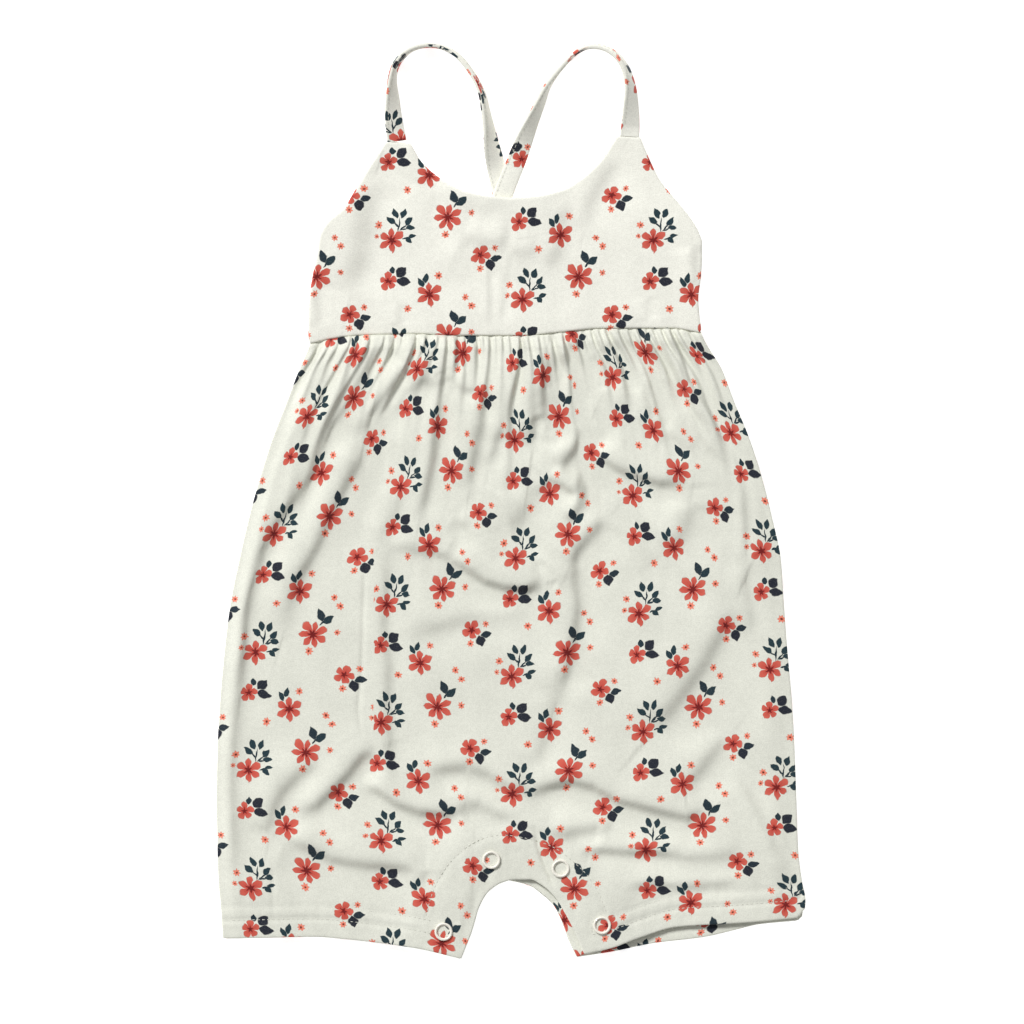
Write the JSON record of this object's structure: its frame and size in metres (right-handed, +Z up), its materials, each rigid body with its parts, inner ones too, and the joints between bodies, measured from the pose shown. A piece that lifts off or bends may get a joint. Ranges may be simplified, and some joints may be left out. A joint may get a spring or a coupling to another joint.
{
  "type": "baby romper",
  "caption": "Sleeveless baby romper laid flat: smooth doubled bodice, cross-back straps, gathered bubble shorts with an arched snap crotch.",
  "frame": {"origin": "the middle of the garment's outline on the surface it lies on", "axes": "+X to the garment's right as seen from above, +Y towards the shoulder straps, +Z up out of the front"},
  "size_m": [0.3236, 0.5038, 0.0107],
  "materials": {
    "printed_jersey": "soft cotton jersey, cream with a small flower print",
    "placket_jersey": "soft cotton jersey, cream with a small flower print",
    "snap_ring": "satin cream enamel"
  },
  "bodies": {
    "root": {"front_bodice": "printed_jersey", "back_bodice": "printed_jersey", "left_strap": "printed_jersey", "right_strap": "printed_jersey", "front_shorts": "printed_jersey", "back_shorts": "printed_jersey", "back_placket": "placket_jersey", "snap_cap_1": "snap_ring", "snap_cap_2": "snap_ring", "snap_cap_3": "snap_ring", "snap_cap_4": "snap_ring"}
  },
  "joints": []
}
